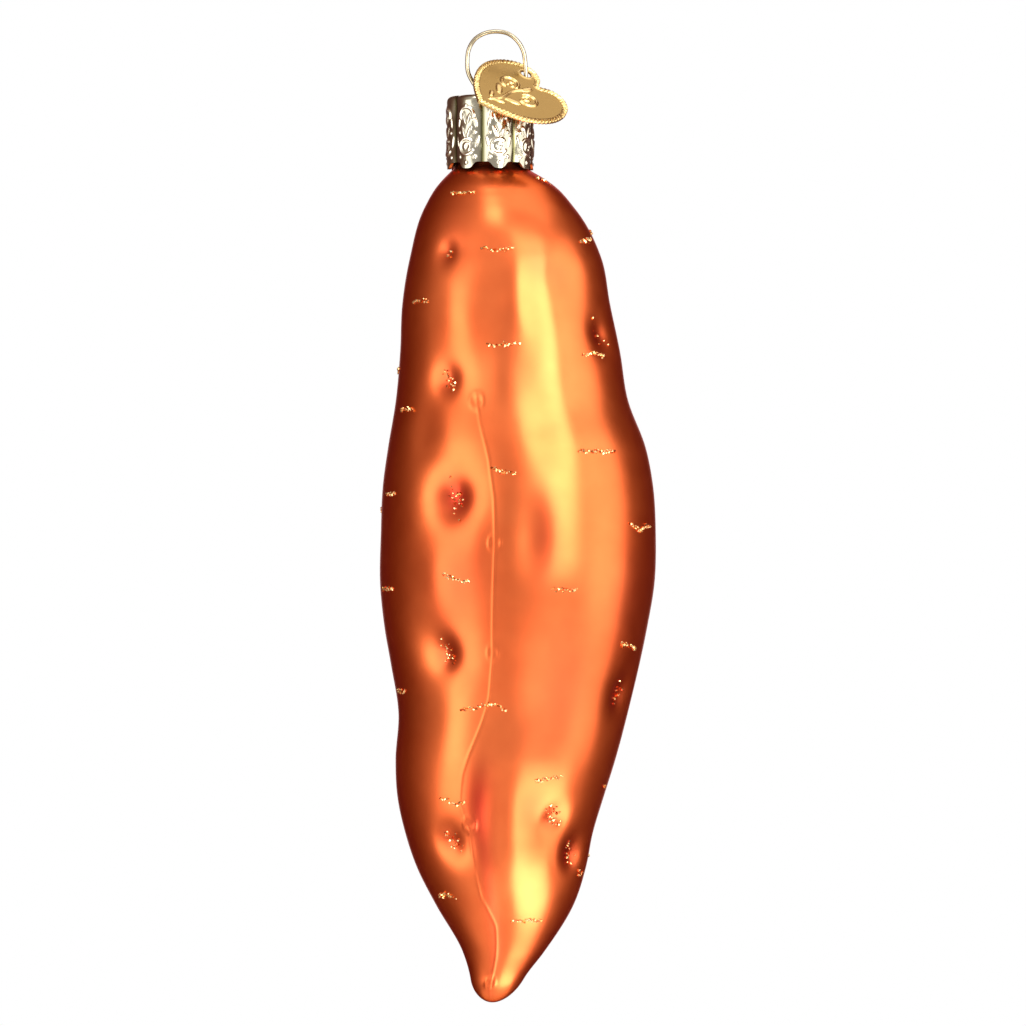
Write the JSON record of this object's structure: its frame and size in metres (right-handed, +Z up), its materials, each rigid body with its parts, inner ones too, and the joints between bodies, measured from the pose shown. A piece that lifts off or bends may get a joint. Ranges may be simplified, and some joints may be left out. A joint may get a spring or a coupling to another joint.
{
  "type": "glass hanging ornament shaped like a sweet potato",
  "caption": "Hollow blown-glass hanging ornament in the shape of a sweet potato, with a scalloped metal cap, a wire hanging loop and a swinging heart tag.",
  "frame": {"origin": "the hanging point: the inside of the top of the wire loop, where a hook would touch it", "axes": "+Z up along the hanging line, +X to the right and -Y towards the front, where the seam shows"},
  "size_m": [0.0386, 0.0357, 0.1362],
  "materials": {
    "lacquered_glass": "satin translucent orange lacquer over silvered glass",
    "cap_metal": "stamped, bright champagne plating",
    "wire_metal": "drawn spring wire, champagne plating",
    "tag_brass": "stamped, satin face and bright raised edge"
  },
  "bodies": {
    "ornament": {"glass_body": "lacquered_glass", "cap": "cap_metal", "hanger_wire": "wire_metal"},
    "tag": {"heart_tag": "tag_brass"}
  },
  "joints": [
    {"name": "tag_swing", "type": "hinge", "parent": "ornament", "child": "tag", "pos_m": [0.0041, 0, -0.00574], "axis": [-0.05, 0, 0.9987], "range_deg": [0, 114]}
  ]
}
